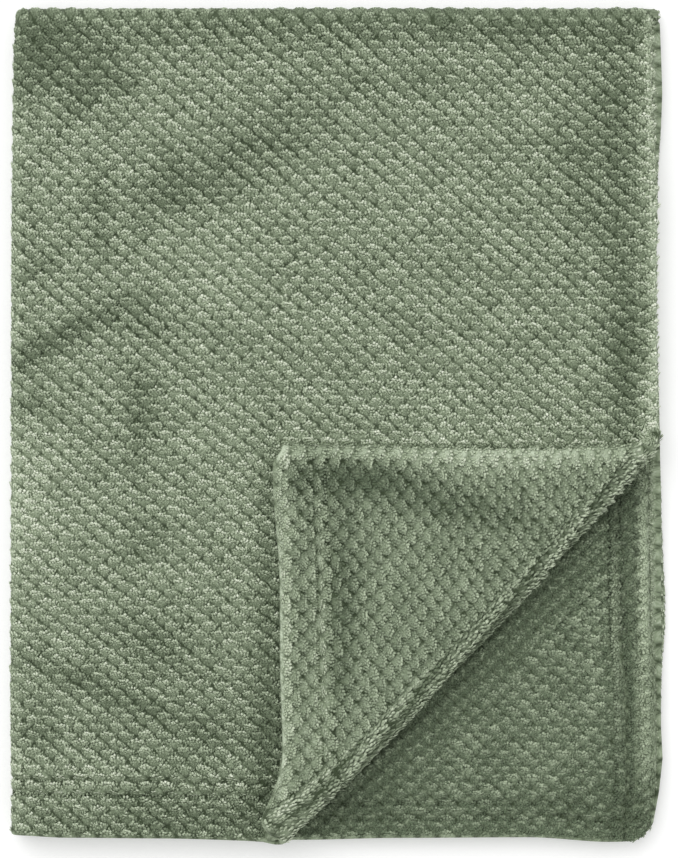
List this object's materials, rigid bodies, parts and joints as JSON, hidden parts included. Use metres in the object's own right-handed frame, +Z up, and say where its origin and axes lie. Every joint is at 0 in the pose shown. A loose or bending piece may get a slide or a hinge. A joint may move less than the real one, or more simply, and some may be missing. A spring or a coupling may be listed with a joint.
{
  "type": "throw blanket",
  "caption": "Plush popcorn-textured fleece throw, hemmed all round, folded flat into a soft layered pad with its front right corner turned back to show the hem beneath.",
  "frame": {"origin": "on the surface it lies on, under the middle of the folded pad", "axes": "+X across the pad towards the side with the turned back corner, +Y along the pad from the hemmed front edge to the folded back edge, +Z up out of the pad"},
  "size_m": [0.505, 0.6422, 0.0651],
  "materials": {
    "fleece": "sage green long-pile fleece with a raised popcorn bobble texture, matt with a pale sheen at grazing angles"
  },
  "bodies": {
    "root": {"throw_blanket": "fleece"}
  },
  "joints": []
}
